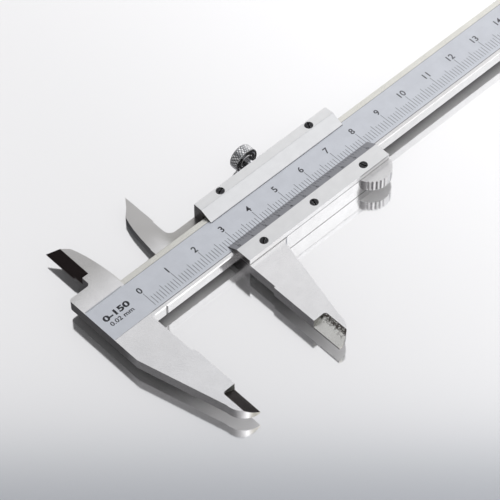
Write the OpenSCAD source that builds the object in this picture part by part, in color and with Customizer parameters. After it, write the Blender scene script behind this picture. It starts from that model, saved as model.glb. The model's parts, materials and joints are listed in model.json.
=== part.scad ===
// Vernier caliper with outside jaws, inside jaws and a depth rod.
// One module per loose piece; all of them share one frame, in millimetres.
// +X runs along the beam to its tail, +Y to the inside jaws, +Z out of the scale face.
// Origin: fixed outside measuring face, beam's lower edge, middle of the beam's thickness.

/* [View] */
// Piece to show, or all of them
// Distance between the outside measuring faces
opening = 28.8; // [0:0.05:150]

/* [Beam] */
// Length from the fixed measuring face to the tail
beam_length = 213; // [208:1:230]
// Width across the scale face
beam_width = 15; // [13:0.5:18]
// Thickness, shared with the outside jaws
beam_thick = 3.5; // [3:0.1:4]
// Chamfer along the two front edges
edge_chamfer = 0.25; // [0.1:0.05:0.5]

/* [Outside jaws] */
// Reach below the beam
jaw_depth = 40; // [30:1:50]
// Radius that rounds off each tip
tip_radius = 6.2; // [4:0.1:8]
// Width of the fixed jaw's head beyond the measuring face
head_width = 13.3; // [12:0.1:16]
// Height of the ground knife flank at each tip
flank_height = 9.6; // [6:0.2:14]
// Width of the knife flank on the front face
flank_width = 4.4; // [3:0.1:5.5]
// Land left on the knife edge
knife_land = 0.6; // [0.2:0.1:1]
// Set-back of the fixed jaw next to the beam
fixed_relief = 0.85; // [0.2:0.05:1.2]
// Set-back of the moving jaw and of the slider's end
root_relief = 0.5; // [0.2:0.05:1]
// Place along the beam of the small notch in its lower edge
notch_x = 4.15; // [2:0.05:10]
// Width of that notch
notch_width = 0.5; // [0.2:0.05:0.8]
// Reach of both set-backs below the beam
relief_height = 15.2; // [8:0.2:20]

/* [Inside jaws] */
// Height of the points above the beam's upper edge
inside_height = 22.3; // [14:0.1:26]
// Distance of the knife edge from the measuring face
inside_offset = 6.2; // [5:0.1:9]
// Length of the knife edge
inside_edge = 11.6; // [8:0.2:16]
// Width of the bevel behind the knife edge
inside_bevel = 2.5; // [1.5:0.1:3.5]

/* [Slider] */
// Length from the moving measuring face to the slider's tail end
slider_length = 53.8; // [45:0.1:60]
// Thickness of the back plate behind the beam
back_thick = 2.72; // [2:0.02:3.5]
// Width of the wall below the beam
lower_wall = 5.4; // [4:0.1:7]
// Side of the slider above the beam
upper_side = 4.1; // [3.6:0.1:6]
// Slot left for the gib spring above the beam
gib_slot = 0.6; // [0.5:0.02:1]
// Running clearance between slider and beam
running_gap = 0.03; // [0.02:0.01:0.08]
// Radius of the thumb pad
pad_radius = 6; // [5:0.2:8]
// Number of serrations on the thumb pad
pad_serrations = 11; // [6:1:14]

/* [Front plates] */
// Height of both plates above the scale face
plate_height = 2; // [1.5:0.1:3]
// Width of the vernier plate
vernier_width = 8.5; // [7:0.1:10]
// Width of its flat margin
vernier_flat = 5.1; // [4:0.1:6]
// Width of the upper guide plate
guide_width = 6.9; // [5:0.1:8]
// Width of its flat margin
guide_flat = 2.95; // [2:0.05:4]
// Diameter of the plate screw heads
screw_head = 2.45; // [2:0.05:3]
// Diameter of the plate screw shanks
screw_shank = 1.56; // [1.2:0.02:1.8]

/* [Lock screw] */
// Diameter of the knurled knob
knob_diameter = 7.9; // [6:0.1:9]
// Width of the knurled knob
knob_width = 3; // [2:0.1:5]
// Number of knurl grooves
knurl_count = 40; // [24:2:60]
// Diameter of the threaded stud
stud_diameter = 2.5; // [2:0.1:3]
// Gap between the stud and the gib spring while released
stud_gap = 0.42; // [0:0.02:0.6]

/* [Depth rod] */
// Width of the rod
rod_width = 3; // [2:0.1:4]
// Thickness of the rod
rod_thick = 1.6; // [1:0.1:2]
// Side clearance of the rod in its groove
rod_gap = 0.05; // [0.03:0.01:0.1]
// Diameter of the rod's two pins
pin_diameter = 1.6; // [1:0.1:2]

/* [Hidden] */
$fn = 48;
eps = 0.01;
half = beam_thick / 2;
top_edge = beam_width;
wall_top = half + running_gap;
inner_back = -half - running_gap;
back_face = inner_back - back_thick;
plate_top = half + plate_height;
slider_top = top_edge + upper_side;
gib_wall = top_edge + gib_slot;
knife_x = -inside_offset;
point_y = top_edge + inside_height;
bevel_start = point_y - 14.7;
shoulder_y = top_edge + 4.5;
guide_start = 2.9;
guide_length = slider_length - 3.4;
guide_screw_y = slider_top - 1.5;
guide_screws = [11.3, 45.2];
vernier_start = 0.55;
vernier_screws = [8, 27, 46];
vernier_screw_y = -3.05;
plate_edge = 0.12;
slot_width = 0.4;
lock_x = 25.95;
stud_end = 22.35;
gib_length = 38;
gib_thick = 0.3;
gib_bow = 0.22;
set_screws = [16.6, 34.6];
set_diameter = 2;
rod_y = beam_width / 2;
rod_start = 5;
rod_pins = [9, 17];
tail_length = 8;
tail_thick = 1.4;
tail_screws = [3.2, 11.8];
pad_x = 48.5;
pad_y = -3.65;

// ---- shared shapes ----

// slab of a plan outline between two heights
module slab(z0, z1) translate([0, 0, z0]) linear_extrude(z1 - z0) children();

// bar with a (y, z) section that runs along +X
module bar(length) rotate([90, 0, 90]) linear_extrude(length) children();

// vertical hole or pin between two heights
module post(d, z0, z1) translate([0, 0, z0]) cylinder(d = d, h = z1 - z0);

// outside jaw in plan, measuring face on x = 0 and metal toward +X
module outside_jaw_plan(root_x, root_y) {
    straight = jaw_depth - tip_radius;
    polygon([[0, 1], [0, -straight], [tip_radius, -straight], [root_x, root_y], [root_x, 1]]);
    intersection() {
        translate([0, -straight]) circle(r = tip_radius);
        translate([0, -jaw_depth - 1]) square([tip_radius + 1, tip_radius + 1 + eps]);
    }
}

// wedge that leaves the knife flank on the front of an outside jaw's tip
module outside_flank() {
    corner = 0.9;
    side = flank_width - 0.15;
    slope = atan2(beam_thick - knife_land, flank_width);
    intersection() {
        slab(-half - 1, half + 2) difference() {
            translate([-2, -jaw_depth - 2]) square([side + 2, flank_height + 2]);
            translate([side - corner, flank_height - jaw_depth - corner]) difference() {
                square(corner + eps);
                circle(r = corner);
            }
        }
        translate([0, 0, knife_land - half]) rotate([0, -slope, 0])
            translate([-20, -jaw_depth - 5, 0]) cube([40, jaw_depth, 20]);
    }
}

// inside jaw in plan: knife edge on x = 0, back of the jaw toward +X
module inside_jaw_plan(foot_y) {
    nose = point_y - 5.1;
    polygon([[0, point_y], [2.35, point_y - 3], [4.5, nose], [5.3, nose - 2.4],
             [5.9, nose - 4.8], [6.5, nose - 8.4], [6.9, nose - 11.6], [7.15, nose - 15],
             [7.2, foot_y], [0.3, foot_y], [0.3, point_y - inside_edge],
             [0, point_y - inside_edge]]);
}

// wedge removed behind an inside knife edge, wide at z = 0 and narrowing toward -Z
module inside_wedge(depth, land) {
    translate([0, bevel_start, 0]) rotate([-90, 0, 0])
        linear_extrude(inside_height) polygon([[-2, -1], [inside_bevel, -1], [inside_bevel, 0],
                                               [0, depth - land], [-2, depth - land]]);
}

// screw with a slotted flat head, head's top at z = 0
module slotted_screw(d_head, h_head, d_shank, reach) {
    difference() {
        union() {
            post(d_head, -h_head, 0);
            post(d_shank, -reach, -h_head + eps);
        }
        translate([-d_head, -slot_width / 2, -h_head * 0.45]) cube([2 * d_head, slot_width, h_head]);
    }
}

// ---- pieces ----

module main_beam() color("lightsteelblue") {
    groove = rod_width + 2 * rod_gap;
    difference() {
        union() {
            // graduated bar
            bar(beam_length) polygon([[0, -half], [beam_width, -half],
                [beam_width, half - edge_chamfer], [beam_width - edge_chamfer, half],
                [edge_chamfer, half], [0, half - edge_chamfer]]);
            // head with both fixed jaws
            slab(-half, half) {
                mirror([1, 0]) outside_jaw_plan(head_width, -7.5);
                difference() {
                    translate([-head_width, 0]) square([head_width - 5.9 + eps, shoulder_y]);
                    translate([-head_width, shoulder_y - 1]) difference() {
                        translate([-1, 0]) square(2);
                        translate([1, 0]) circle(r = 1);
                    }
                }
                translate([-5.9, 0]) square([5.9 + eps, shoulder_y]);
                translate([knife_x, 0]) inside_jaw_plan(top_edge - 1);
                // rounded inner corner at the foot of the inside jaw
                difference() {
                    translate([-6.9, shoulder_y - eps]) square([1 + eps, 1]);
                    translate([-6.9, shoulder_y + 1]) circle(r = 1);
                }
            }
        }
        // measuring face set back next to the beam
        translate([-fixed_relief, -relief_height, -half - 1])
            cube([fixed_relief + 1, relief_height, beam_thick + 2]);
        mirror([1, 0, 0]) outside_flank();
        translate([knife_x, 0, half]) inside_wedge(beam_thick, 0.3);
        // small notch across the lower edge, beside the jaw's root
        translate([notch_x, 0, 0]) post(notch_width, -half - 1, half + 1);
        // groove for the depth rod
        translate([3, rod_y - groove / 2, -half - 1])
            cube([beam_length, groove, 1 + rod_thick + rod_gap + 0.05]);
        // tapped holes for the tail stop
        for (y = tail_screws) translate([beam_length - tail_length / 2, y, 0])
            post(screw_shank + 0.04, -half - 1, 1.0);
    }
}

module slider_body() color("silver") translate([opening, 0, 0]) {
    difference() {
        union() {
            // back plate with the arm of the moving inside jaw
            slab(back_face, inner_back) {
                translate([root_relief, -lower_wall])
                    square([slider_length - root_relief, lower_wall + slider_top]);
                back_sweep();
                mirror([1, 0]) translate([inside_offset, 0]) inside_jaw_plan(top_edge - 3);
                difference() {
                    translate([-6.6, slider_top - 1]) square([2.4, 3.3]);
                    translate([-4.2, slider_top + 2.3]) circle(r = 2.3);
                }
            }
            // wall below the beam
            slab(back_face, wall_top) translate([root_relief, -lower_wall])
                square([slider_length - root_relief, lower_wall - running_gap]);
            // wall above the beam
            slab(back_face, wall_top) translate([guide_start, gib_wall])
                square([guide_length, slider_top - gib_wall]);
            // moving outside jaw with its root fillet
            slab(-half, half) {
                intersection() {
                    outside_jaw_plan(12.4, -8);
                    translate([0, -jaw_depth - 1]) square([30, jaw_depth + 1 - running_gap]);
                }
                difference() {
                    translate([11.4, -lower_wall - 2.6]) square([3.6, 2.7]);
                    translate([15, -lower_wall - 2.6]) circle(r = 2.6);
                }
            }
            thumb_pad();
        }
        // measuring face set back next to the beam
        translate([-1, -relief_height, -half - 1])
            cube([1 + root_relief, relief_height, beam_thick + 2]);
        outside_flank();
        translate([knife_x, 0, back_face]) mirror([0, 0, 1]) mirror([1, 0, 0])
            inside_wedge(back_thick, 0.3);
        for (x = vernier_screws) translate([x, vernier_screw_y, 0])
            post(screw_shank + 0.04, -1.2, wall_top + 1);
        for (x = guide_screws) translate([x, guide_screw_y, 0])
            post(screw_shank + 0.04, -1.2, wall_top + 1);
        // tapped holes for the lock screw and the gib set screws
        cross_hole(lock_x, stud_diameter + 0.06);
        for (x = set_screws) cross_hole(x, set_diameter + 0.04);
        for (x = rod_pins) translate([x, rod_y, 0])
            post(pin_diameter + 0.04, back_face - 1, inner_back + 1);
    }
}

// concave sweep of the back plate from the arm down to the moving jaw
module back_sweep() {
    reach = inside_offset + 7.2;
    drop = 15;
    difference() {
        translate([-reach, -1]) square([reach + root_relief + eps, slider_top + 1]);
        translate([-reach, -1]) circle(r = drop);
    }
}

// hole along Y through the wall above the beam
module cross_hole(x, d) translate([x, gib_wall - 1, 0]) rotate([-90, 0, 0])
    cylinder(d = d, h = upper_side + 3);

// round pad with serrations, moved by the thumb
module thumb_pad() {
    difference() {
        translate([pad_x, pad_y]) post(pad_radius * 2, -half, half);
        translate([pad_x - 10, pad_y + 3, -half - 1]) cube([20, 10, beam_thick + 2]);
        // narrow grooves; the side toward the jaw stays smooth
        for (i = [0:pad_serrations - 1])
            rotate_about(pad_x, pad_y, 217 + i * 115 / (pad_serrations - 1))
                translate([pad_radius + 0.1, 0, -half - 1])
                    cylinder(r = 0.42, h = beam_thick + 2, $fn = 4);
    }
}

module rotate_about(x, y, angle) translate([x, y, 0]) rotate([0, 0, angle]) children();

module upper_guide_plate() color("gainsboro") translate([opening, 0, 0]) difference() {
    inner = slider_top - guide_width;
    translate([guide_start, 0, 0]) bar(guide_length)
        polygon([[slider_top, wall_top], [inner, wall_top], [inner, wall_top + plate_edge],
                 [slider_top - guide_flat, plate_top], [slider_top, plate_top]]);
    for (x = guide_screws) translate([x, guide_screw_y, 0]) screw_seat();
}

module vernier_plate() color("gainsboro") translate([opening, 0, 0]) difference() {
    outer = -lower_wall;
    translate([vernier_start, 0, 0]) bar(slider_length - vernier_start)
        polygon([[outer, wall_top], [outer + vernier_width, wall_top],
                 [outer + vernier_width, wall_top + plate_edge],
                 [outer + vernier_flat, plate_top], [outer, plate_top]]);
    for (x = vernier_screws) translate([x, vernier_screw_y, 0]) screw_seat();
}

// counterbore and clearance hole of a plate screw
module screw_seat() {
    post(screw_head + 0.08, plate_top - 0.95, plate_top + 1);
    post(screw_shank + 0.08, wall_top - 1, plate_top);
}

module plate_screw(x, y, turn) color("dimgray")
    translate([opening + x, y, plate_top - 0.04]) rotate([0, 0, turn])
        slotted_screw(screw_head, 0.9, screw_shank, 4.6);

module upper_screw_front() plate_screw(guide_screws[0], guide_screw_y, 20);
module upper_screw_rear() plate_screw(guide_screws[1], guide_screw_y, 65);
module vernier_screw_front() plate_screw(vernier_screws[0], vernier_screw_y, 40);
module vernier_screw_middle() plate_screw(vernier_screws[1], vernier_screw_y, 75);
module vernier_screw_rear() plate_screw(vernier_screws[2], vernier_screw_y, 110);

// height of the bowed leaf above its ends, for t from -1 to 1
function bow(t) = gib_bow * (1 - t * t);

// bowed leaf between the beam's upper edge and the slider's wall
module gib_spring() color("goldenrod") {
    steps = 16;
    translate([opening + lock_x, top_edge + 0.02, 0]) slab(-half + 0.3, half - 0.3) polygon(concat(
        [for (i = [0:steps]) let (t = i * 2 / steps - 1) [t * gib_length / 2, bow(t)]],
        [for (i = [0:steps]) let (t = 1 - i * 2 / steps) [t * gib_length / 2, bow(t) + gib_thick]]));
}

module gib_set_screw(x) color("dimgray") {
    tip = top_edge + 0.03 + gib_thick + bow((x - lock_x) * 2 / gib_length);
    translate([opening + x, slider_top - 0.4, 0]) rotate([-90, 0, 0])
        slotted_screw(set_diameter, 1.2, set_diameter - 0.02, slider_top - 0.4 - tip);
}

module gib_set_screw_front() gib_set_screw(set_screws[0]);
module gib_set_screw_rear() gib_set_screw(set_screws[1]);

module lock_stud() color("silver") {
    tip = top_edge + 0.02 + gib_bow + gib_thick + stud_gap;
    translate([opening + lock_x, tip, 0]) rotate([-90, 0, 0])
        cylinder(d = stud_diameter, h = stud_end + knob_width - 0.4 - tip);
}

module lock_knob() color("silver") {
    r = knob_diameter / 2;
    edge = 0.45;
    translate([opening + lock_x, stud_end, 0]) rotate([-90, 0, 0]) difference() {
        rotate_extrude() polygon([[stud_diameter / 2 + 0.01, 0], [r - edge, 0], [r, edge],
            [r, knob_width - edge], [r - edge, knob_width], [0, knob_width],
            [0, knob_width - 0.39], [stud_diameter / 2 + 0.01, knob_width - 0.39]]);
        for (i = [0:knurl_count - 1]) rotate([0, 0, i * 360 / knurl_count])
            translate([r + 0.08, 0, -1]) cylinder(r = 0.3, h = knob_width + 2, $fn = 4);
    }
}

module depth_rod() color("silver") difference() {
    length = beam_length - rod_start;
    translate([opening + rod_start, rod_y - rod_width / 2, inner_back])
        cube([length, rod_width, rod_thick]);
    // relieved corner at the measuring end
    translate([opening + beam_length - 1.2, rod_y + 0.6, inner_back - 1])
        rotate([0, 0, -30]) cube([4, 4, rod_thick + 2]);
    for (x = rod_pins) translate([opening + x, rod_y, 0])
        post(pin_diameter + 0.04, inner_back - 1, inner_back + 1.24);
}

module depth_rod_pin(x) color("gray") translate([opening + x, rod_y, 0])
    post(pin_diameter, back_face + 0.02, inner_back + 1.2);

module depth_rod_pin_front() depth_rod_pin(rod_pins[0]);
module depth_rod_pin_rear() depth_rod_pin(rod_pins[1]);

// stop and rod guide under the beam's tail
module tail_stop() color("silver") difference() {
    translate([beam_length - tail_length, 1, -half - tail_thick])
        cube([tail_length, beam_width - 2, tail_thick]);
    translate([beam_length - tail_length - 1, rod_y - rod_width / 2 - rod_gap, -half - 0.12])
        cube([tail_length + 2, rod_width + 2 * rod_gap, 1]);
    for (y = tail_screws) translate([beam_length - tail_length / 2, y, 0]) {
        post(screw_head + 0.08, -half - tail_thick - 1, -half - tail_thick + 0.65);
        post(screw_shank + 0.08, -half - tail_thick, -half + 1);
    }
}

module tail_screw(y, turn) color("dimgray")
    translate([beam_length - tail_length / 2, y, -half - tail_thick + 0.03])
        rotate([180, 0, turn]) slotted_screw(screw_head, 0.6, screw_shank, 3.6);

module tail_screw_upper() tail_screw(tail_screws[1], 30);
module tail_screw_lower() tail_screw(tail_screws[0], 75);

// ---- selection ----

main_beam();
slider_body();
upper_guide_plate();
vernier_plate();
upper_screw_front();
upper_screw_rear();
vernier_screw_front();
vernier_screw_middle();
vernier_screw_rear();
gib_spring();
gib_set_screw_front();
gib_set_screw_rear();
lock_stud();
lock_knob();
depth_rod();
depth_rod_pin_front();
depth_rod_pin_rear();
tail_stop();
tail_screw_upper();
tail_screw_lower();
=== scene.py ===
# Looks of the vernier caliper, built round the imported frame.
# Everything is in metres, in the frame of the CAD part: +X runs along the beam to its
# tail, +Y to the inside jaws and +Z out of the graduated face.

import json
import math

import bmesh
import bpy
from mathutils import Matrix, Vector


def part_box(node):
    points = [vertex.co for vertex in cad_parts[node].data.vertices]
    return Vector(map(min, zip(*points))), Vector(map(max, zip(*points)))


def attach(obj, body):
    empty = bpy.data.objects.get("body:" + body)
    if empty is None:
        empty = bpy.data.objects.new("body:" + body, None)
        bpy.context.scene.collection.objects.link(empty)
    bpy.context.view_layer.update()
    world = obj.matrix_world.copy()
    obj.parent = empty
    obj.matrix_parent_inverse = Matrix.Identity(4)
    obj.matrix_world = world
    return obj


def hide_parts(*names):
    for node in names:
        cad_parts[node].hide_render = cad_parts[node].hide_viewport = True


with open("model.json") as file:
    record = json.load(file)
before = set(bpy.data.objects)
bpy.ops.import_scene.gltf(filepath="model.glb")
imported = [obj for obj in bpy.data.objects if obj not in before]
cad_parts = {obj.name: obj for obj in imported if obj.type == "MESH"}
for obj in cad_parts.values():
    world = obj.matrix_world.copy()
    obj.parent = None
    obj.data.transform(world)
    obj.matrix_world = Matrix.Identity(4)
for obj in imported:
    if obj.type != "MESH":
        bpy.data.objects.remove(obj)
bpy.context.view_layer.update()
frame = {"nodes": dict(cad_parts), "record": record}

MM = 0.001

# ---- sizes read from the frame ----

mounts = {m["name"]: Vector(m["pos_m"]) for m in frame["record"]["mounts"]}
beam_low, beam_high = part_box("main_beam")
rod_low, rod_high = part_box("depth_rod")
slider_low, slider_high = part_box("slider_body")
vernier_low, vernier_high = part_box("vernier_plate")
guide_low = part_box("upper_guide_plate")[0]
knob_low, knob_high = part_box("lock_knob")
stud_low, stud_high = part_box("lock_stud")
screw_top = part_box("vernier_screw_front")[1].z
tail_screw_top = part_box("tail_screw_lower")[0].z    # these heads look down

face_z = beam_high.z
beam_width = rod_low.y + rod_high.y    # the rod lies in the middle of the beam
opening = mounts["moving_jaw_face"].x
table_z = slider_low.z
slider_wall = vernier_low.y    # lower wall of the slider, under the vernier plate's edge
pad_start = slider_high.x - 14 * MM
knob_middle = (knob_low + knob_high) / 2
knob_radius = (knob_high.x - knob_low.x) / 2

# ---- marks on the beam and the vernier plate ----

SCALE_ZERO = 2.3 * MM          # main zero, from the fixed measuring plane
MAIN_DIVISIONS = 200
TICK_FOOT = 2.45 * MM          # lower end of the main ticks, above the beam's lower edge
TICK_LENGTHS = {10: 5.0 * MM, 5: 4.0 * MM, 1: 3.0 * MM}
TICK_WIDTH = 0.13 * MM
MAIN_DIGIT = 2.0 * MM
MAIN_DIGIT_FOOT = 7.85 * MM
MAIN_DIGIT_SHIFT = 0.1 * MM    # numerals stand a little left of their ticks
VERNIER_DIVISIONS = 50
VERNIER_PITCH = 0.98 * MM
VERNIER_FLAT = 5.1 * MM        # flat margin of the vernier plate
VERNIER_EDGE = 0.12 * MM       # upright edge under its bevel
VERNIER_TICK_GAP = 0.04 * MM
VERNIER_LONG, VERNIER_SHORT = 2.0 * MM, 1.4 * MM
VERNIER_DIGIT = 1.15 * MM
VERNIER_DIGIT_TOP = 2.25 * MM  # from the plate's thin edge
THIN_WEIGHT, BOLD_WEIGHT = 0.018, 0.04
BAND_LOW = 1.3 * MM            # satin band of the beam, between two engraved lines
BAND_HIGH = 13.1 * MM
BAND_LEFT = 0.35 * MM          # gaps to the beam's ends
BAND_RIGHT = 0.3 * MM
HEAD_END = 0.3 * MM            # left of this the low line is finer
HIGH_LINE_START = 0.6 * MM
MAIN_LINE, HEAD_LINE, HIGH_LINE = 0.08 * MM, 0.03 * MM, 0.05 * MM    # their half widths
MARKING_X = -6.7 * MM          # middle of the range marking
MARK_SINK = 0.012 * MM
MARK_RISE = 0.006 * MM
EDGE_FOOT = (-0.05 * MM, 0.002 * MM)   # the band's bright edge: from BAND_HIGH, above the face
EDGE_CREST = (0.35 * MM, 0.11 * MM)
EDGE_BACK = 0.42 * MM
EDGE_END = -0.2 * MM

# ---- knurled knob ----

KNURL_DEPTH = 0.12 * MM
KNURL_STEPS, KNURL_HELICES, KNURL_ROWS = 480, 30, 20
KNURL_TWIST = math.tan(math.radians(30))
KNOB_EDGE = 0.25 * MM          # chamfer between the knurl and the flat ends
KNOB_CAP = 0.39 * MM           # from the far end to the bottom of the bore
BORE_GAP = 0.01 * MM
NEAR_GROOVE = (1.9 * MM, 2.05 * MM, 2.95 * MM, 3.1 * MM)    # radii of its rims and floor
FAR_RECESS = (2.6 * MM, 2.45 * MM)     # radii of its rim and floor
RECESS_DEPTH = 0.12 * MM


# ---- shader helpers ----

class Nodes:
    """A node tree with short calls for the nodes used here."""

    def __init__(self, tree):
        self.nodes = tree.nodes
        self.links = tree.links

    def new(self, kind, **settings):
        node = self.nodes.new("ShaderNode" + kind)
        for name, value in settings.items():
            setattr(node, name, value)
        return node

    def put(self, value, socket):
        """Joins an output to a socket, or sets a plain value on it."""
        if isinstance(value, bpy.types.NodeSocket):
            self.links.new(value, socket)
        else:
            socket.default_value = value

    def math(self, operation, a, b=0.0):
        node = self.new("Math", operation=operation)
        self.put(a, node.inputs[0])
        self.put(b, node.inputs[1])
        return node.outputs[0]

    def times(self, a, b):
        return self.math("MULTIPLY", a, b)

    def plus(self, a, b):
        return self.math("ADD", a, b)

    def minus(self, a, b):
        return self.math("SUBTRACT", a, b)

    def dot(self, a, b):
        node = self.new("VectorMath", operation="DOT_PRODUCT")
        self.put(a, node.inputs[0])
        self.put(b, node.inputs[1])
        return node.outputs["Value"]

    def ramp(self, value, low, high, to_low=0.0, to_high=1.0):
        """Smooth step of value: to_low at low, to_high at high."""
        if low > high:
            low, high, to_low, to_high = high, low, to_high, to_low
        node = self.new("MapRange", interpolation_type="SMOOTHSTEP")
        self.put(value, node.inputs["Value"])
        node.inputs["From Min"].default_value = low
        node.inputs["From Max"].default_value = high
        node.inputs["To Min"].default_value = to_low
        node.inputs["To Max"].default_value = to_high
        return node.outputs["Result"]

    def level(self, mask, off, on):
        """A number that goes from off to on as a mask goes from 0 to 1."""
        return self.ramp(mask, 0, 1, off, on)

    def colour(self, value):
        return (*value, 1.0) if isinstance(value, tuple) else value

    def mix(self, factor, a, b, blend="MIX"):
        """Mix of two colours: a where the factor is 0, b where it is 1."""
        node = self.new("Mix", data_type="RGBA", blend_type=blend)
        self.put(factor, node.inputs["Factor"])
        self.put(self.colour(a), node.inputs["A"])
        self.put(self.colour(b), node.inputs["B"])
        return node.outputs["Result"]

    def shade(self, colour, factor):
        """A colour multiplied by a grey factor."""
        return self.mix(1.0, colour, factor, "MULTIPLY")


class Shader(Nodes):
    """The node tree of a new material, round its Principled BSDF."""

    def __init__(self, name):
        self.material = bpy.data.materials.new(name)
        self.material.use_nodes = True
        super().__init__(self.material.node_tree)
        self.bsdf = self.nodes["Principled BSDF"]
        coordinates = self.new("TexCoord")
        self.place = coordinates.outputs["Object"]
        self.normal = coordinates.outputs["Normal"]

    def axis(self, vector, name):
        node = self.new("SeparateXYZ")
        self.put(vector, node.inputs[0])
        return node.outputs[name]

    def noise(self, per_mm, detail=3.0, rough=0.55):
        """Noise with so many cells per millimetre, one number or one for each axis."""
        cells = per_mm if isinstance(per_mm, tuple) else (per_mm,) * 3
        mapping = self.new("Mapping")
        self.put(self.place, mapping.inputs["Vector"])
        mapping.inputs["Scale"].default_value = [c / MM for c in cells]
        node = self.new("TexNoise")
        self.put(mapping.outputs[0], node.inputs["Vector"])
        node.inputs["Scale"].default_value = 1.0
        node.inputs["Detail"].default_value = detail
        node.inputs["Roughness"].default_value = rough
        return node.outputs["Fac"]

    def edges(self, radius):
        """1 along the sharp edges of the shape, within about a radius of them."""
        rounded = self.new("Bevel", samples=4)
        rounded.inputs["Radius"].default_value = radius
        normal = self.new("NewGeometry").outputs["Normal"]
        return self.ramp(self.dot(rounded.outputs[0], normal), *SHARP_TURN)

    def bump(self, height, depth):
        node = self.new("Bump")
        node.inputs["Distance"].default_value = depth
        self.put(height, node.inputs["Height"])
        self.put(node.outputs[0], self.bsdf.inputs["Normal"])

    def finish(self, colour, roughness, metallic=1.0):
        self.put(self.colour(colour), self.bsdf.inputs["Base Color"])
        self.put(roughness, self.bsdf.inputs["Roughness"])
        self.bsdf.inputs["Metallic"].default_value = metallic
        return self.material


# ---- masks by the way a face looks ----

# Soft thresholds of one component of the normal: 0 at the first number, 1 at the second.
SHARP_TURN = (0.995, 0.90)     # product of the true normal and a rounded one
SIDEWAYS = (0.45, 0.97)
NOT_UPWARD = (0.30, 0.15)
TOWARD_MINUS_Y = (-0.80, -0.96)
DOWNWARD = (-0.85, -0.95)
SLANT_X = (0.35, 0.5)
SLANT_Z = (0.15, 0.30)
UPWARD = (0.9, 0.98)
SIDE_Y = (-20 * MM, -15 * MM)  # lower sides lie above this, the jaws' ends below


def end_face_mask(s):
    """1 on the faces that look along X, the ends and edges of the jaws, which get painted shade.
    """
    sideways = s.ramp(s.math("ABSOLUTE", s.axis(s.normal, "X")), *SIDEWAYS)
    return s.times(sideways, s.ramp(s.axis(s.normal, "Z"), *NOT_UPWARD))


def lower_face_mask(s):
    """1 on the faces that look toward -Y."""
    return s.ramp(s.axis(s.normal, "Y"), *TOWARD_MINUS_Y)


def side_face_mask(s):
    """1 on the polished lower sides of beam, slider and thumb pad."""
    return s.times(lower_face_mask(s), s.ramp(s.axis(s.place, "Y"), *SIDE_Y))


def jaw_end_mask(s):
    """1 on the faces at the jaws' ends that look toward -Y."""
    return s.minus(lower_face_mask(s), side_face_mask(s))


def underside_mask(s):
    """1 on the faces that look down at the table."""
    return s.ramp(s.axis(s.normal, "Z"), *DOWNWARD)


def slope_mask(s, toward):
    """1 on the slanted bevels and flanks that look toward -X or +X and up."""
    x = s.times(s.axis(s.normal, "X"), toward)
    return s.times(s.ramp(x, *SLANT_X), s.ramp(s.axis(s.normal, "Z"), *SLANT_Z))


# ---- what all the steel shares ----

GROUND = (0.875, 0.867, 0.868)
POLISHED = (0.86, 0.86, 0.86)
# Painted shade on the faces that look along X, darker still near the beam.
SHADED_END = (0.175, 0.17, 0.175)
BEAM_SHADED_END = (0.25, 0.245, 0.25)
DEEPER_SHADED_END = (0.08, 0.075, 0.077)
UNDERSIDE = (0.85, 0.845, 0.84)
INSIDE_JAW = (0.52, 0.51, 0.50)
TIP_END = (0.62, 0.60, 0.54)
# Painted shade on the steps at the jaws' ends that look toward -Y.
JAW_STEP_SHADE = (0.10, 0.10, 0.09)

INSIDE_JAW_Y = (12 * MM, 25 * MM)
TIP_END_Y = (-34 * MM, -33 * MM)
DEEPER_SHADE_Y = (-8 * MM, -1 * MM)
COARSE_CELLS = 2.2             # noise cells per millimetre
GRAIN_CELLS = {"X": (0.35, 14.0, 14.0), "all": 9.0}
CLOUD_CELLS = 0.3
GRAIN_RANGE = (0.2, 0.8)       # parts of a noise's range that a ramp uses
CLOUD_RANGE = (0.3, 0.7)
GRAIN_SPREAD = 0.06            # of the roughness, between the grain's lines
GRAIN_DEPTH = 0.0006 * MM
JAW_END_MOTTLE = (0.75, 1.25)  # factors on a colour, over the coarse noise
EDGE_MOTTLE = (0.8, 1.22)
SATIN_ROUGH = 0.42
UNDERSIDE_ROUGHER = 0.55       # added to the roughness there


def ground_steel(s, tint, polish, edge, below):
    """Ground steel: polished lower sides, darker inside jaws, and painted shade on the ends, the
    jaws' end steps and the underside.
    """
    y = s.axis(s.place, "Y")
    coarse = s.noise(COARSE_CELLS, detail=3.0, rough=0.6)
    colour = s.mix(s.ramp(y, *INSIDE_JAW_Y), tint, INSIDE_JAW)
    colour = s.mix(underside_mask(s), colour, below)
    colour = s.mix(side_face_mask(s), colour, polish)
    # painted shade on the jaws' end steps; the tip's own end stays a warm grey
    jaw_end = s.mix(s.ramp(y, *TIP_END_Y), TIP_END, JAW_STEP_SHADE)
    jaw_end = s.shade(jaw_end, s.ramp(coarse, *CLOUD_RANGE, *JAW_END_MOTTLE))
    colour = s.mix(jaw_end_mask(s), colour, jaw_end)
    # painted shade on the end faces, mottled by the coarse noise
    dark = s.mix(s.ramp(y, *DEEPER_SHADE_Y), edge, DEEPER_SHADED_END)
    dark = s.shade(dark, s.ramp(coarse, *CLOUD_RANGE, *EDGE_MOTTLE))
    return s.mix(end_face_mask(s), colour, dark)


def grain(s, along, colour, roughness, shade=0.06):
    """Fine ground finish, in lines along X or in all directions: colour, roughness, relief."""
    lines = s.noise(GRAIN_CELLS[along], detail=2.0)
    cloud = s.noise(CLOUD_CELLS, detail=3.0)
    shade_by = s.plus(s.ramp(lines, *GRAIN_RANGE, 1 - shade, 1.0),
                      s.ramp(cloud, *CLOUD_RANGE, -shade / 2, shade / 2))
    tinted = s.shade(colour, shade_by)
    rough = s.plus(roughness, s.ramp(lines, *GRAIN_RANGE, -GRAIN_SPREAD / 2, GRAIN_SPREAD / 2))
    s.bump(lines, GRAIN_DEPTH)
    return tinted, rough


# ---- the beam ----

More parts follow.
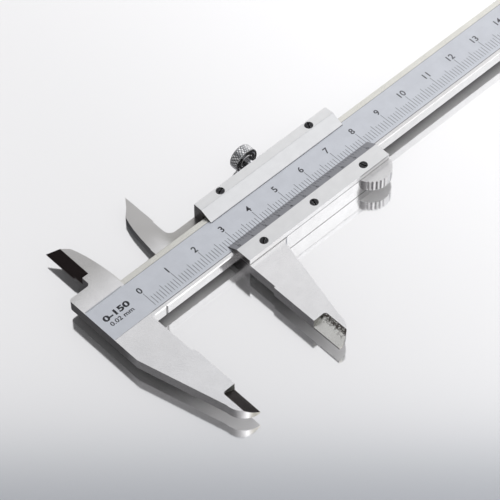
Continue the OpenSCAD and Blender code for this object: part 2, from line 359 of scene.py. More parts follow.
SATIN = (0.70, 0.72, 0.765)
WARM = (0.74, 0.73, 0.68)
# Painted shade on the beam's slanted bevels and flanks.
BEVEL_SHADE = (0.28, 0.225, 0.225)
BEAM_FLANK_SHADE = (0.21, 0.19, 0.19)
# Painted shade on the underside where it hangs over the table, by the beam and the jaw's root.
UNDER_BEAM_SHADE = (0.24, 0.235, 0.24)
UNDER_JAW_SHADE = (0.15, 0.145, 0.15)

NOTCH = 4.15 * MM              # middle of the small notch beside the fixed jaw's root
NOTCH_REACH = (0.50 * MM, 0.25 * MM)
BAND_SOFT = 0.03 * MM
MARGIN_X = (0.5 * MM, 1.0 * MM)
MARGIN_Y = (12.9 * MM, 13.2 * MM)
PAST_SLIDER_X = (55 * MM, 85 * MM)
LOW_MARGIN_Y = (2.0 * MM, 1.5 * MM)
JAW_TIP_Y = (-10 * MM, -25 * MM)
UNDER_JAW_Y = (-32 * MM, -12 * MM)
UNDER_BEAM_Y = (0, 4.5 * MM)
JAW_TO_BEAM_X = (1 * MM, 3 * MM)
# Painted light brightens the jaw toward its tip; painted shade dims the lower side and margin
# past the slider and darkens the notch.
JAW_TIP_PAINTED_LIGHT = 1.07           # factors on a colour
PAST_SLIDER_PAINTED_SHADE = 0.74
LOW_MARGIN_PAINTED_SHADE = 0.18         # taken off such a factor
NOTCH_PAINTED_SHADE = 0.6
GROUND_ROUGH = 0.27
SIDE_ROUGHER = -0.15           # added to the roughness there
SLOPE_ROUGHER = -0.12
END_ROUGHER = 0.14
JAW_END_ROUGHER = 0.30


def beam_tint(s, x, y, past_slider):
    """Front faces: warm upper margin, painted shade on the lower margin far out, painted light on
    the jaw toward its tip.
    """
    margin = s.times(s.ramp(x, *MARGIN_X), s.ramp(y, *MARGIN_Y))
    low_margin = s.times(past_slider, s.ramp(y, *LOW_MARGIN_Y))
    return s.shade(s.mix(margin, GROUND, WARM),
                   s.minus(s.ramp(y, *JAW_TIP_Y, 1.0, JAW_TIP_PAINTED_LIGHT),
                           s.level(low_margin, 0.0, LOW_MARGIN_PAINTED_SHADE)))


def beam_polish(s, x, past_slider):
    """Lower side: painted shade, dimmer past the slider and dark in the notch."""
    notch = s.ramp(s.math("ABSOLUTE", s.minus(x, NOTCH)), *NOTCH_REACH)
    return s.shade(POLISHED, s.minus(s.level(past_slider, 1.0, PAST_SLIDER_PAINTED_SHADE),
                                     s.level(notch, 0.0, NOTCH_PAINTED_SHADE)))


def beam_below(s, x, y):
    """Underside with painted shade: pale toward the jaw's tip and along the beam's lower edge,
    dark elsewhere.
    """
    under_jaw = s.mix(s.ramp(y, *UNDER_JAW_Y), UNDERSIDE, UNDER_JAW_SHADE)
    under_beam = s.mix(s.ramp(y, *UNDER_BEAM_Y), UNDERSIDE, UNDER_BEAM_SHADE)
    return s.mix(s.ramp(x, *JAW_TO_BEAM_X), under_jaw, under_beam)


def beam_roughness(s, band, slopes):
    """Satin band, smoother sides and slopes, rougher underside and ends."""
    rough = s.level(band, GROUND_ROUGH, SATIN_ROUGH)
    for mask, change in ((side_face_mask(s), SIDE_ROUGHER), (slopes, SLOPE_ROUGHER),
                         (underside_mask(s), UNDERSIDE_ROUGHER),
                         (end_face_mask(s), END_ROUGHER), (jaw_end_mask(s), JAW_END_ROUGHER)):
        rough = s.plus(rough, s.level(mask, 0, change))
    return rough


def beam_steel():
    """Satin scale band between ground margins, with painted shade on the jaws' end faces and on
    the slanted bevels and flanks.
    """
    s = Shader("beam_steel")
    x, y = s.axis(s.place, "X"), s.axis(s.place, "Y")
    band = s.times(s.ramp(y, BAND_LOW - BAND_SOFT, BAND_LOW + BAND_SOFT),
                   s.ramp(y, BAND_HIGH + BAND_SOFT, BAND_HIGH - BAND_SOFT))
    band = s.times(band, s.ramp(s.axis(s.normal, "Z"), *UPWARD))
    past_slider = s.ramp(x, *PAST_SLIDER_X)
    ground = ground_steel(s, beam_tint(s, x, y, past_slider), beam_polish(s, x, past_slider),
                          BEAM_SHADED_END, beam_below(s, x, y))
    bevel, flank = slope_mask(s, -1.0), slope_mask(s, 1.0)
    # painted shade on the slanted bevels and flanks
    ground = s.mix(flank, s.mix(bevel, ground, BEVEL_SHADE), BEAM_FLANK_SHADE)
    colour = s.mix(band, ground, SATIN)
    rough = beam_roughness(s, band, s.plus(bevel, flank))
    return s.finish(*grain(s, "all", colour, rough, shade=0.05))


# ---- the slider ----

BRIGHT_FLANK = (0.93, 0.93, 0.90)
# Painted shade: a ragged, speckled dark patch on the moving jaw's flank.
FLANK_PATCH_SHADE = (0.085, 0.075, 0.07)
# Painted shade in the strip between the inside jaw and the guide plate.
BEHIND_JAW_SHADE = (0.36, 0.35, 0.33)
BESIDE_GUIDE_SHADE = (0.16, 0.15, 0.14)
# Painted shade on the slider's underside beneath the moving jaw.
UNDER_SLIDER_SHADE = (0.12, 0.115, 0.12)

PAD_X = (pad_start, pad_start + 0.2 * MM)
PAD_Y = (slider_wall - 0.1 * MM, slider_wall - 0.3 * MM)
BESIDE_PAD_X = (pad_start + 1.2 * MM, pad_start + 2.5 * MM)
BESIDE_PAD_Y = (slider_wall - 0.3 * MM, slider_wall - 0.1 * MM)
ABOVE_BEAM_Y = (beam_width - 0.5 * MM, beam_width)
BEHIND_JAW_X = (guide_low.x - 13 * MM, guide_low.x - 9 * MM)
BESIDE_GUIDE_X = (guide_low.x - 3 * MM, guide_low.x)
FLANK_Y = (-28 * MM, -30 * MM)
FLANK_PATCH_X = (opening + 2.2 * MM, opening + 3.4 * MM)
FLANK_PATCH_WANDER = 1.0 * MM
BLOT_CELLS, SPECK_CELLS = 1.1, 3.0     # noise cells per millimetre
BLOT_RANGE, SPECK_RANGE = (0.25, 0.75), (0.66, 0.50)
FOOT_Z = (slider_low.z + 0.24 * MM, slider_low.z + 0.16 * MM)
FOOT_Y = (slider_wall - 0.4 * MM, slider_wall - 0.2 * MM)
UNDER_SLIDER_Y = (-36 * MM, -12 * MM)
UNDER_SLIDER_X = (opening + 24 * MM, opening + 14 * MM)
PAD_SHADE = 0.80
BESIDE_PAD_SHADE = 0.75
PAD_WALL_LOSS = 0.24
# Painted contact shadow along the lower wall's foot.
FOOT_PAINTED_SHADOW = 0.25
SLIDER_ROUGH, WALL_ROUGH = 0.28, 0.16


def slider_tint(s, x, y, pad):
    """Front faces: dimmer thumb pad, and painted shade in a strip between the inside jaw and the
    guide.
    """
    above_beam = s.times(s.ramp(y, *ABOVE_BEAM_Y), s.ramp(x, *BEHIND_JAW_X))
    tint = s.mix(above_beam, s.shade(GROUND, s.level(pad, 1.0, PAD_SHADE)), BEHIND_JAW_SHADE)
    return s.mix(s.times(above_beam, s.ramp(x, *BESIDE_GUIDE_X)), tint, BESIDE_GUIDE_SHADE)


def slider_polish(s, x, y, pad):
    """Lower wall: dimmer along and on the pad, with a painted contact shadow as a dark line at
    its foot.
    """
    beside_pad = s.times(s.ramp(x, *BESIDE_PAD_X), s.ramp(y, *BESIDE_PAD_Y))
    polish = s.shade(POLISHED, s.plus(s.level(beside_pad, 1.0, BESIDE_PAD_SHADE),
                                      s.level(pad, 0, -PAD_WALL_LOSS)))
    # painted contact shadow where the wall's foot meets the table
    foot = s.times(s.ramp(s.axis(s.place, "Z"), *FOOT_Z), s.ramp(y, *FOOT_Y))
    return s.shade(polish, s.level(foot, 1.0, FOOT_PAINTED_SHADOW))


def stained_flank(s, x):
    """Bright ground flank with painted shade: a ragged, speckled dark patch from its upper side.
    """
    blots = s.noise(BLOT_CELLS, detail=5.0, rough=0.7)
    across = s.plus(x, s.ramp(blots, *BLOT_RANGE, -FLANK_PATCH_WANDER, FLANK_PATCH_WANDER))
    specks = s.ramp(s.noise(SPECK_CELLS), *SPECK_RANGE)
    return s.mix(s.times(s.ramp(across, *FLANK_PATCH_X), specks), BRIGHT_FLANK, FLANK_PATCH_SHADE)


def slider_steel():
    """Ground all over, with a polished lower wall, and painted shade on the end faces, the
    underside, the wall's foot and part of the flank.
    """
    s = Shader("slider_steel")
    x, y = s.axis(s.place, "X"), s.axis(s.place, "Y")
    pad = s.times(s.ramp(x, *PAD_X), s.ramp(y, *PAD_Y))
    # painted shade on the underside beneath the jaw
    under_jaw = s.times(s.ramp(y, *UNDER_SLIDER_Y), s.ramp(x, *UNDER_SLIDER_X))
    below = s.mix(under_jaw, UNDERSIDE, UNDER_SLIDER_SHADE)
    ground = ground_steel(s, slider_tint(s, x, y, pad), slider_polish(s, x, y, pad),
                          SHADED_END, below)
    flank = s.times(slope_mask(s, -1.0), s.ramp(y, *FLANK_Y))
    colour = s.mix(flank, ground, stained_flank(s, x))
    rough = s.plus(s.level(side_face_mask(s), SLIDER_ROUGH, WALL_ROUGH),
                   s.level(underside_mask(s), 0, UNDERSIDE_ROUGHER))
    return s.finish(*grain(s, "all", colour, rough, shade=0.05))


# ---- the two plates ----

PLATE_FLAT = (0.80, 0.80, 0.80)
# Painted shade: the vernier's satin bevel, the plates' ends and the lower side beside the pad,
# darker on its upper part.
PLATE_BEVEL_SHADE = (0.34, 0.345, 0.37)
PLATE_END_SHADE = (0.09, 0.085, 0.085)
PLATE_SIDE_SHADE, PLATE_STEP_SHADE = (0.62, 0.62, 0.62), (0.34, 0.34, 0.35)
SEAM = (0.12, 0.12, 0.12)
# Painted shade along the guide plate's foot.
GUIDE_FOOT_SHADE = (0.22, 0.22, 0.23)

BEVEL_NORMAL_Y, BEVEL_NORMAL_Z = (0.2, 0.4), (0.5, 0.7)
PLATE_SIDE_Y = (slider_wall + 0.3 * MM, slider_wall + 0.1 * MM)
PLATE_STEP_Z = (vernier_high.z - 0.65 * MM, vernier_high.z - 0.45 * MM)
SEAM_Z = (vernier_low.z + 0.30 * MM, vernier_low.z + 0.22 * MM)
GUIDE_FOOT_Y = (guide_low.y + 0.16 * MM, guide_low.y + 0.06 * MM)
ON_GUIDE_Y = (guide_low.y - 0.3 * MM, guide_low.y - 0.1 * MM)
PLATE_ROUGH = 0.32


def plate_steel():
    """Pale satin flats, the vernier's satin bevel darkened by painted shade, dark seam, and
    painted shade on the ends, beside the pad and at the guide's foot.
    """
    s = Shader("plate_steel")
    y, z = s.axis(s.place, "Y"), s.axis(s.place, "Z")
    bevel = s.times(s.ramp(s.axis(s.normal, "Y"), *BEVEL_NORMAL_Y),
                    s.ramp(s.axis(s.normal, "Z"), *BEVEL_NORMAL_Z))
    colour = s.mix(bevel, PLATE_FLAT, PLATE_BEVEL_SHADE)
    colour = s.mix(end_face_mask(s), colour, PLATE_END_SHADE)
    side = s.times(lower_face_mask(s), s.ramp(y, *PLATE_SIDE_Y))
    beside_pad = s.times(side, s.ramp(s.axis(s.place, "X"), *BESIDE_PAD_X))
    colour = s.mix(beside_pad, colour, s.mix(s.ramp(z, *PLATE_STEP_Z), PLATE_SIDE_SHADE, PLATE_STEP_SHADE))
    colour = s.mix(s.times(side, s.ramp(z, *SEAM_Z)), colour, SEAM)
    guide_foot = s.times(s.ramp(y, *GUIDE_FOOT_Y), s.ramp(y, *ON_GUIDE_Y))
    colour = s.mix(guide_foot, colour, GUIDE_FOOT_SHADE)
    return s.finish(*grain(s, "X", colour, s.level(bevel, PLATE_ROUGH, SATIN_ROUGH), shade=0.04))


# ---- small parts and ink ----

BRONZE, BRONZE_ROUGH = (0.66, 0.43, 0.20), 0.32
ROD_STEEL, ROD_ROUGH = (0.60, 0.60, 0.60), 0.3
# Painted shade: everything but the heads' flat faces is darker, so the slots and the heads' sides
# read as shade.
OXIDE_SHADED, OXIDE_HEAD = (0.008, 0.008, 0.009), (0.045, 0.045, 0.048)
RUBBED = (0.70, 0.70, 0.70)
RUBBED_CELLS, RUBBED_RANGE = 0.9, (0.45, 0.58)
RUBBED_WIDTH = 0.20 * MM
HEAD_DEPTH = (0.25 * MM, 0.15 * MM)    # the look of a head ends between these depths
FACE_UP_OR_DOWN = (0.8, 0.95)
OXIDE_ROUGH, OXIDE_METALLIC = 0.28, 0.9
# Painted shade in the knurl's grooves and on the knob's flat ends.
CHROME_GROOVE_SHADE, CHROME_PEAK = (0.22, 0.22, 0.225), (0.97, 0.97, 0.98)
CHROME_INNER, CHROME_END_SHADE = (0.90, 0.90, 0.92), (0.045, 0.045, 0.048)
KNURL_RADIUS = (knob_radius - 0.9 * KNURL_DEPTH, knob_radius - 0.6 * KNURL_DEPTH)
INNER_RADIUS = (knob_radius - 0.8 * MM, knob_radius - 0.5 * MM)
KNOB_END_Y = (0.8, 0.97)
CHROME_ROUGH = 0.2
INK_DARK, INK_WORN, INK_PALE = (0.012, 0.013, 0.017), (0.040, 0.041, 0.048), (0.13, 0.13, 0.145)
INK_CELLS, INK_RANGE = 2.5, (0.3, 0.75)
INK_PALE_X = (25 * MM, 115 * MM)
INK_SPECULAR, INK_ROUGH = 0.3, 0.6


def plain_metal(name, colour, roughness):
    """One metal all over, drawn along X."""
    s = Shader(name)
    return s.finish(*grain(s, "X", colour, roughness))


def black_oxide():
    """Blackened screws: dull heads with a few rubbed edges, painted shade on the slots and
    shanks.
    """
    s = Shader("black_oxide")
    z = s.axis(s.place, "Z")
    deep, shallow = HEAD_DEPTH
    top = s.math("MAXIMUM", s.ramp(z, screw_top - deep, screw_top - shallow),
                 s.ramp(z, tail_screw_top + deep, tail_screw_top + shallow))
    head = s.times(top, s.ramp(s.math("ABSOLUTE", s.axis(s.normal, "Z")), *FACE_UP_OR_DOWN))
    rubbed = s.ramp(s.noise(RUBBED_CELLS), *RUBBED_RANGE)
    worn = s.times(s.edges(RUBBED_WIDTH), s.times(head, rubbed))
    colour = s.mix(worn, s.mix(head, OXIDE_SHADED, OXIDE_HEAD), RUBBED)
    return s.finish(*grain(s, "all", colour, OXIDE_ROUGH, shade=0.2), metallic=OXIDE_METALLIC)


def chrome():
    """Polished chrome, with painted shade in the grooves of the knurl and on the flat ends."""
    s = Shader("chrome")
    sideways = s.minus(s.axis(s.place, "X"), knob_middle.x)
    upward = s.minus(s.axis(s.place, "Z"), knob_middle.z)
    radius = s.math("SQRT", s.plus(s.math("POWER", sideways, 2), s.math("POWER", upward, 2)))
    colour = s.mix(s.ramp(radius, *KNURL_RADIUS), CHROME_GROOVE_SHADE, CHROME_PEAK)
    colour = s.mix(s.ramp(radius, *INNER_RADIUS), CHROME_INNER, colour)
    ends = s.ramp(s.math("ABSOLUTE", s.axis(s.normal, "Y")), *KNOB_END_Y)
    colour = s.mix(ends, colour, CHROME_END_SHADE)
    return s.finish(*grain(s, "all", colour, CHROME_ROUGH, shade=0.08))


def mark_ink():
    """Ink of all the marks: a little worn, and paler toward the beam's far part."""
    s = Shader("mark_ink")
    worn = s.ramp(s.noise(INK_CELLS), *INK_RANGE)
    colour = s.mix(worn, INK_DARK, INK_WORN)
    colour = s.mix(s.ramp(s.axis(s.place, "X"), *INK_PALE_X), colour, INK_PALE)
    s.bsdf.inputs["Specular IOR Level"].default_value = INK_SPECULAR
    return s.finish(colour, INK_ROUGH, metallic=0.0)


MATERIALS = {
    "beam_steel": beam_steel(),
    "slider_steel": slider_steel(),
    "plate_steel": plate_steel(),
    "black_oxide": black_oxide(),
    "spring_bronze": plain_metal("spring_bronze", BRONZE, BRONZE_ROUGH),
    "chrome": chrome(),
    "rod_steel": plain_metal("rod_steel", ROD_STEEL, ROD_ROUGH),
    "graduations": mark_ink(),
}


# ---- CAD nodes: their own slot's material and softened edges ----

EDGE_ROUNDING = {"main_beam": 0.10, "slider_body": 0.10, "tail_stop": 0.12, "depth_rod": 0.08,
                 "vernier_plate": 0.07, "upper_guide_plate": 0.07, "gib_spring": 0.03}
SMALL_ROUNDING = 0.05          # millimetres, as in the table above
CREASE_ANGLE = math.radians(12)
ROUNDED_ANGLE = math.radians(22)
FLAT_ANGLE = math.radians(0.3)
WELD_DISTANCE = 1e-6


def crease_group():
    """Geometry nodes that shade a mesh smooth, with a crease wherever it turns sharply."""
    group = bpy.data.node_groups.new("creases", "GeometryNodeTree")
    for direction in ("INPUT", "OUTPUT"):
        group.interface.new_socket("Geometry", in_out=direction,
                                   socket_type="NodeSocketGeometry")
    came, left = group.nodes.new("NodeGroupInput"), group.nodes.new("NodeGroupOutput")
    angle = group.nodes.new("GeometryNodeInputMeshEdgeAngle")
    sharp = group.nodes.new("FunctionNodeCompare")
    sharp.operation = "GREATER_THAN"
    sharp.inputs[1].default_value = CREASE_ANGLE
    normals = group.nodes.new("GeometryNodeSetMeshNormal")
    normals.mode = "SHARPNESS"
    normals.inputs["Remove Custom"].default_value = True
    group.links.new(angle.outputs["Unsigned Angle"], sharp.inputs[0])
    group.links.new(came.outputs[0], normals.inputs["Mesh"])
    group.links.new(sharp.outputs[0], normals.inputs["Edge Sharpness"])
    group.links.new(normals.outputs[0], left.inputs[0])
    return group


CREASES = crease_group()


def soften(node, radius):
    """Rounds the sharp edges of a CAD node's look; its mesh stays as it is."""
    node.modifiers.new("weld", "WELD").merge_threshold = WELD_DISTANCE
    node.modifiers.new("creases", "NODES").node_group = CREASES
    flat = node.modifiers.new("flat_faces", "DECIMATE")
    flat.decimate_type = "DISSOLVE"
    flat.angle_limit = FLAT_ANGLE
    flat.delimit = {"SHARP"}
    bevel = node.modifiers.new("edges", "BEVEL")
    bevel.width = radius
    bevel.segments = 2
    bevel.limit_method = "ANGLE"
    bevel.angle_limit = ROUNDED_ANGLE
    bevel.harden_normals = True


for part in frame["record"]["subparts"]:
    node = frame["nodes"][part["node"]]
    node.data.materials.clear()
    node.data.materials.append(MATERIALS[part["material_slot"]])
    soften(node, EDGE_ROUNDING.get(part["node"], SMALL_ROUNDING) * MM)


# ---- new pieces ----

def piece(name, bm, slot, body):
    """Turns a bmesh into a piece with its slot's material that rides on a body."""
    bmesh.ops.recalc_face_normals(bm, faces=bm.faces)
    mesh = bpy.data.meshes.new(name)
    bm.to_mesh(mesh)
    bm.free()
    mesh.materials.append(MATERIALS[slot])
    obj = bpy.data.objects.new(name, mesh)
    bpy.context.scene.collection.objects.link(obj)
    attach(obj, body)
    return obj


class Face:
    """A flat face to mark: a point on it, the reading direction +X and the up direction."""

    def __init__(self, origin, up):
        self.origin = Vector(origin)
        self.right = Vector((1, 0, 0))
        self.up = Vector(up).normalized()
        self.out = self.right.cross(self.up)

    def at(self, x, y, z):
        return self.origin + self.right * x + self.up * y + self.out * z


def join_rings(bm, a, b):
    """Faces between two closed rings of as many vertices, given in the same order."""
    for i in range(len(a)):
        j = (i + 1) % len(a)
        bm.faces.new((a[i], a[j], b[j], b[i]))


def add_strip(bm, face, x0, x1, y0, y1):
    """Thin inlaid bar on a face, sunk a little and just proud of it."""
    low, high = ([bm.verts.new(face.at(x, y, z))
                  for x, y in ((x0, y0), (x1, y0), (x1, y1), (x0, y1))]
                 for z in (-MARK_SINK, MARK_RISE))
    bm.faces.new(high)
    bm.faces.new(low[::-1])
    join_rings(bm, low, high)


def text_shape(text, weight):
    """Mesh of a text in the built-in font at size 1, with its foot at Y = 0."""
    curve = bpy.data.curves.new("lettering", "FONT")
    curve.body = text
    curve.extrude = 0.5
    curve.offset = weight
    curve.resolution_u = 4
    holder = bpy.data.objects.new("lettering", curve)
    bpy.context.scene.collection.objects.link(holder)
    bpy.context.view_layer.update()
    evaluated = holder.evaluated_get(bpy.context.evaluated_depsgraph_get())
    mesh = bpy.data.meshes.new_from_object(evaluated)
    bpy.data.objects.remove(holder)
    bpy.data.curves.remove(curve)
    return mesh


def digit_height():
    mesh = text_shape("0", 0.0)
    ys = [v.co.y for v in mesh.vertices]
    bpy.data.meshes.remove(mesh)
    return max(ys) - min(ys)


DIGIT_HEIGHT = digit_height()


def add_text(bm, face, text, x, foot, height, weight=THIN_WEIGHT, width=None):
    """Lettering inlaid on a face, centred on x; width stretches it to a given length."""
    mesh = text_shape(text, weight)
    xs = [v.co.x for v in mesh.vertices]
    middle = (min(xs) + max(xs)) / 2
    up_scale = height / DIGIT_HEIGHT
    side_scale = up_scale if width is None else width / (max(xs) - min(xs))
    for v in mesh.vertices:
        v.co = face.at(x + (v.co.x - middle) * side_scale, foot + v.co.y * up_scale,
                       MARK_RISE if v.co.z > 0 else -MARK_SINK)
    bm.from_mesh(mesh)
    bpy.data.meshes.remove(mesh)


scale_face = Face((0, 0, face_z), (0, 1, 0))


def main_scale():
    """Millimetre ticks and centimetre numerals on the beam."""
    ticks = bmesh.new()
    for i in range(MAIN_DIVISIONS + 1):
        step = 10 if i % 10 == 0 else 5 if i % 5 == 0 else 1
        x = SCALE_ZERO + i * MM
        add_strip(ticks, scale_face, x - TICK_WIDTH / 2, x + TICK_WIDTH / 2,
                  TICK_FOOT, TICK_FOOT + TICK_LENGTHS[step])
    piece("main_scale_ticks", ticks, "graduations", "beam")
    digits = bmesh.new()
    for cm in range(MAIN_DIVISIONS // 10 + 1):
        add_text(digits, scale_face, str(cm), SCALE_ZERO + cm * 10 * MM - MAIN_DIGIT_SHIFT,
                 MAIN_DIGIT_FOOT, MAIN_DIGIT)
    piece("main_scale_numerals", digits, "graduations", "beam")


def band_lines():
    """The engraved lines that bound the satin band; the low one is finer on the head."""
    lines = bmesh.new()
    left, right = beam_low.x + BAND_LEFT, beam_high.x - BAND_RIGHT
    for x0, x1, y, half in ((HEAD_END, right, BAND_LOW, MAIN_LINE),
                            (left, HEAD_END, BAND_LOW, HEAD_LINE),
                            (HIGH_LINE_START, right, BAND_HIGH, HIGH_LINE)):
        add_strip(lines, scale_face, x0, x1, y - half, y + half)
    piece("scale_band_lines", lines, "graduations", "beam")


def band_edge():
    """The bright raised edge along the band's upper side on the head."""
    edge = bmesh.new()
    profile = ((EDGE_FOOT[0], -MARK_SINK), EDGE_FOOT, EDGE_CREST, (EDGE_BACK, -MARK_SINK))
    ends = [[edge.verts.new(scale_face.at(x, BAND_HIGH + y, z)) for y, z in profile]
            for x in (beam_low.x + BAND_LEFT, EDGE_END)]
    join_rings(edge, *ends)
    for end in ends:
        edge.faces.new(end)
    piece("scale_band_edge", edge, "plate_steel", "beam")


def range_marking():
    """Measuring range and reading, the usual generic marking left of the zero."""
    marking = bmesh.new()
    add_text(marking, scale_face, "0-150", MARKING_X, foot=7.2 * MM, height=1.8 * MM,
             weight=BOLD_WEIGHT, width=8.9 * MM)
    add_text(marking, scale_face, "0.02 mm", MARKING_X, foot=5.05 * MM, height=1.35 * MM,
             width=7.9 * MM)
    piece("range_marking", marking, "graduations", "beam")


def vernier_scale():
    """Fifty divisions of 0.98 mm and their numerals on the vernier plate's bevel."""
    foot = Vector((0, vernier_high.y, vernier_low.z + VERNIER_EDGE))
    head = Vector((0, vernier_low.y + VERNIER_FLAT, vernier_high.z))
    bevel = Face(foot, foot - head)
    ticks, digits = bmesh.new(), bmesh.new()
    for i in range(VERNIER_DIVISIONS + 1):
        x = opening + SCALE_ZERO + i * VERNIER_PITCH
        length = VERNIER_LONG if i % 5 == 0 else VERNIER_SHORT
        add_strip(ticks, bevel, x - TICK_WIDTH / 2, x + TICK_WIDTH / 2,
                  -length, -VERNIER_TICK_GAP)
        if i % 5 == 0:
            add_text(digits, bevel, str(i // 5 % 10), x, -(VERNIER_DIGIT_TOP + VERNIER_DIGIT),
                     VERNIER_DIGIT)
    piece("vernier_ticks", ticks, "graduations", "slider")
    piece("vernier_numerals", digits, "graduations", "slider")


def knob_profile(width):
    """Radius and height of the knob's closed outline, from its bore round to the bore."""
    bore = (stud_high.x - stud_low.x) / 2 + BORE_GAP
    a, b, c, d = NEAR_GROOVE
    near = [(bore, 0), (a, 0), (b, RECESS_DEPTH), (c, RECESS_DEPTH), (d, 0),
            (knob_radius - KNOB_EDGE, 0)]
    knurl = [(knob_radius, KNOB_EDGE + (width - 2 * KNOB_EDGE) * i / KNURL_ROWS)
             for i in range(KNURL_ROWS + 1)]
    rim, floor = FAR_RECESS
    far = [(knob_radius - KNOB_EDGE, width), (rim, width), (floor, width - RECESS_DEPTH),
           (0, width - RECESS_DEPTH)]
    return near + knurl + far + [(0, width - KNOB_CAP), (bore, width - KNOB_CAP)]


def knurl_cut(angle, y):
    """Depth of the diamond knurl, from two sets of crossing helices."""
    twist = KNURL_TWIST * y / knob_radius
    waves = [abs((KNURL_HELICES * (angle + side * twist) / math.tau) % 1 - 0.5) * 2
             for side in (-1, 1)]
    return KNURL_DEPTH * (1 - min(waves))


def knurled_knob():
    """Turned knob with a diamond knurl, a groove in its near face and a recess in its far one."""
    bm = bmesh.new()
    rings = []
    for r, y in knob_profile(knob_high.y - knob_low.y):
        ring = []
        for i in range(KNURL_STEPS if r > 0 else 1):
            angle = math.tau * i / KNURL_STEPS
            out = r - knurl_cut(angle, y) if r == knob_radius else r
            ring.append(bm.verts.new((knob_middle.x + out * math.cos(angle), knob_low.y + y,
                                      knob_middle.z + out * math.sin(angle))))
        rings.append(ring)
    for a, b in zip(rings, rings[1:] + rings[:1]):
        if len(a) == len(b) == 1:
            continue
        for i in range(KNURL_STEPS):
            j = (i + 1) % KNURL_STEPS
            corners = [a[i % len(a)], a[j % len(a)], b[j % len(b)], b[i % len(b)]]
            bm.faces.new(list(dict.fromkeys(corners)))
    knob = piece("knurled_knob", bm, "chrome", "lock_knob")
    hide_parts("lock_knob")


main_scale()
band_lines()
band_edge()
range_marking()
vernier_scale()
knurled_knob()


# ---- stage: pale glossy table, soft surroundings and the camera ----

TABLE_SIZE = 6.0
TABLE_GAP = 0.01 * MM
TABLE_TOP, TABLE_GLOSS = (0.80, 0.80, 0.80), (0.95, 0.95, 0.96)
TABLE_ROUGH, TABLE_GLOSS_ROUGH = 0.3, 0.11
TABLE_GLOSS_SHARE = 0.84


def table():
    """Pale table top, glossy enough to mirror the tool softly."""
    bpy.ops.mesh.primitive_plane_add(size=TABLE_SIZE, location=(0, 0, table_z - TABLE_GAP))
    floor = bpy.context.object
    floor.name = "table"
    s = Shader("table_top")
    s.finish(TABLE_TOP, TABLE_ROUGH, metallic=0.0)
    gloss = s.new("BsdfGlossy")
    gloss.inputs["Roughness"].default_value = TABLE_GLOSS_ROUGH
    gloss.inputs["Color"].default_value = s.colour(TABLE_GLOSS)
    both = s.new("MixShader")
    both.inputs[0].default_value = TABLE_GLOSS_SHARE
    s.put(s.bsdf.outputs[0], both.inputs[1])
    s.put(gloss.outputs[0], both.inputs[2])
    s.put(both.outputs[0], s.nodes["Material Output"].inputs["Surface"])
    floor.data.materials.append(s.material)


# Patches of light round the part: azimuth and elevation of the middle, half angles of the
# even core and of the faded rim (all in degrees), brightness.
PANELS = (
    (47, 50, 12, 30, 0.79),     # mirrored by the table and the graduated faces
    (317, 53, 8, 30, 0.65),     # by way of the table to the lower walls of beam and slider
    (337, 30, 8, 32, 1.20),
    (292, 30, 8, 32, 1.40),
    (22, 30, 8, 32, 0.60),
    (67, 30, 8, 32, 0.17),
    (227, 53, 8, 30, 1.20),     # behind the camera
    (252, 50, 6, 22, 0.60),
    (137, 53, 8, 30, 0.55),     # by way of the table to the dark end faces
    (45, 8, 8, 32, 1.10),
    (270, 8, 8, 32, 1.40),
    (0, 80, 8, 30, 0.75),
    (205, 8, 8, 30, 0.70),
    (195, 32, 8, 30, 0.80),
    (105, 18, 8, 30, 0.60),
)
# The bluish dark ceiling above the main panel: half of the sky, with nearly a straight edge,
# as far as its reach round the main panel. Its brightness number is how dark it gets.
CEILING = (227, 32.8, 89.4, 90.7, 0.68)
CEILING_REACH = (47, 60, 26, 44, 1.0)
BLUISH = (0.80, 0.90, 1.06)
WHITE = (1.0, 0.995, 1.0)
BASE_LIGHT = 0.04
BACKDROP = 0.85                # plain grey that the camera sees past the table


def sky_direction(azimuth, elevation):
    """Unit vector toward a place in the sky."""
    azimuth, elevation = math.radians(azimuth), math.radians(elevation)
    return (math.cos(azimuth) * math.cos(elevation), math.sin(azimuth) * math.cos(elevation),
            math.sin(elevation))


def patch(w, direction, azimuth, elevation, core, rim, strength):
    """Strength inside the core of a patch of the sky, falling to nothing at its rim."""
    closeness = w.dot(direction, sky_direction(azimuth, elevation))
    return w.ramp(closeness, math.cos(math.radians(rim)), math.cos(math.radians(core)),
                  0.0, strength)


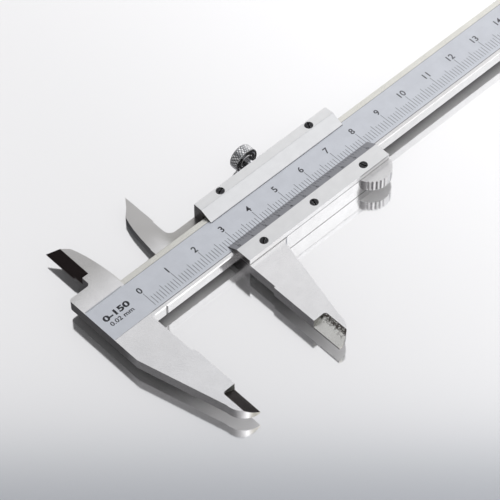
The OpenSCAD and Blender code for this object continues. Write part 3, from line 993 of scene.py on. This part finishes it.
def surroundings():
    """World of soft panels for the metal to reflect; the camera itself sees a plain grey."""
    world = bpy.data.worlds.new("studio")
    bpy.context.scene.world = world
    world.use_nodes = True
    w = Nodes(world.node_tree)
    background = w.nodes["Background"]
    direction = w.new("TexCoord").outputs["Generated"]
    total = BASE_LIGHT
    for panel in PANELS:
        total = w.plus(patch(w, direction, *panel), total)
    ceiling = w.times(patch(w, direction, *CEILING), patch(w, direction, *CEILING_REACH))
    total = w.times(total, w.minus(1.0, ceiling))
    w.put(w.mix(ceiling, WHITE, BLUISH), background.inputs["Color"])
    seen = w.new("LightPath").outputs["Is Camera Ray"]
    plain = w.times(seen, BACKDROP)
    hidden = w.times(w.minus(1.0, seen), total)
    w.put(w.plus(plain, hidden), background.inputs["Strength"])


VIEW_ANGLES = (-43.258, 52.437, -0.551)    # azimuth, elevation and roll in degrees
VIEW_AIM = Vector((32.91 * MM, -1.70 * MM, face_z))
VIEW_DISTANCE = 671.65 * MM
VIEW_LENS, VIEW_SENSOR = 179.61, 36.0      # millimetres
VIEW_START = 10 * MM                       # nearest distance that it sees


def camera():
    """Camera at the tool's front and left, looking down at the opening between the jaws."""
    azimuth, elevation, roll = (math.radians(a) for a in VIEW_ANGLES)
    back = Vector((math.sin(azimuth) * math.cos(elevation),
                   -math.cos(azimuth) * math.cos(elevation), math.sin(elevation)))
    right = Vector((math.cos(azimuth), math.sin(azimuth), 0))
    up = back.cross(right)
    right, up = (right * math.cos(roll) + up * math.sin(roll),
                 up * math.cos(roll) - right * math.sin(roll))
    data = bpy.data.cameras.new("camera")
    data.sensor_width = VIEW_SENSOR
    data.lens = VIEW_LENS
    data.clip_start = VIEW_START
    view = bpy.data.objects.new("camera", data)
    turned = Matrix((right, up, back)).transposed().to_4x4()
    view.matrix_world = Matrix.Translation(VIEW_AIM + back * VIEW_DISTANCE) @ turned
    bpy.context.scene.collection.objects.link(view)
    bpy.context.scene.camera = view


table()
surroundings()
camera()
bpy.context.scene.view_settings.view_transform = "Standard"
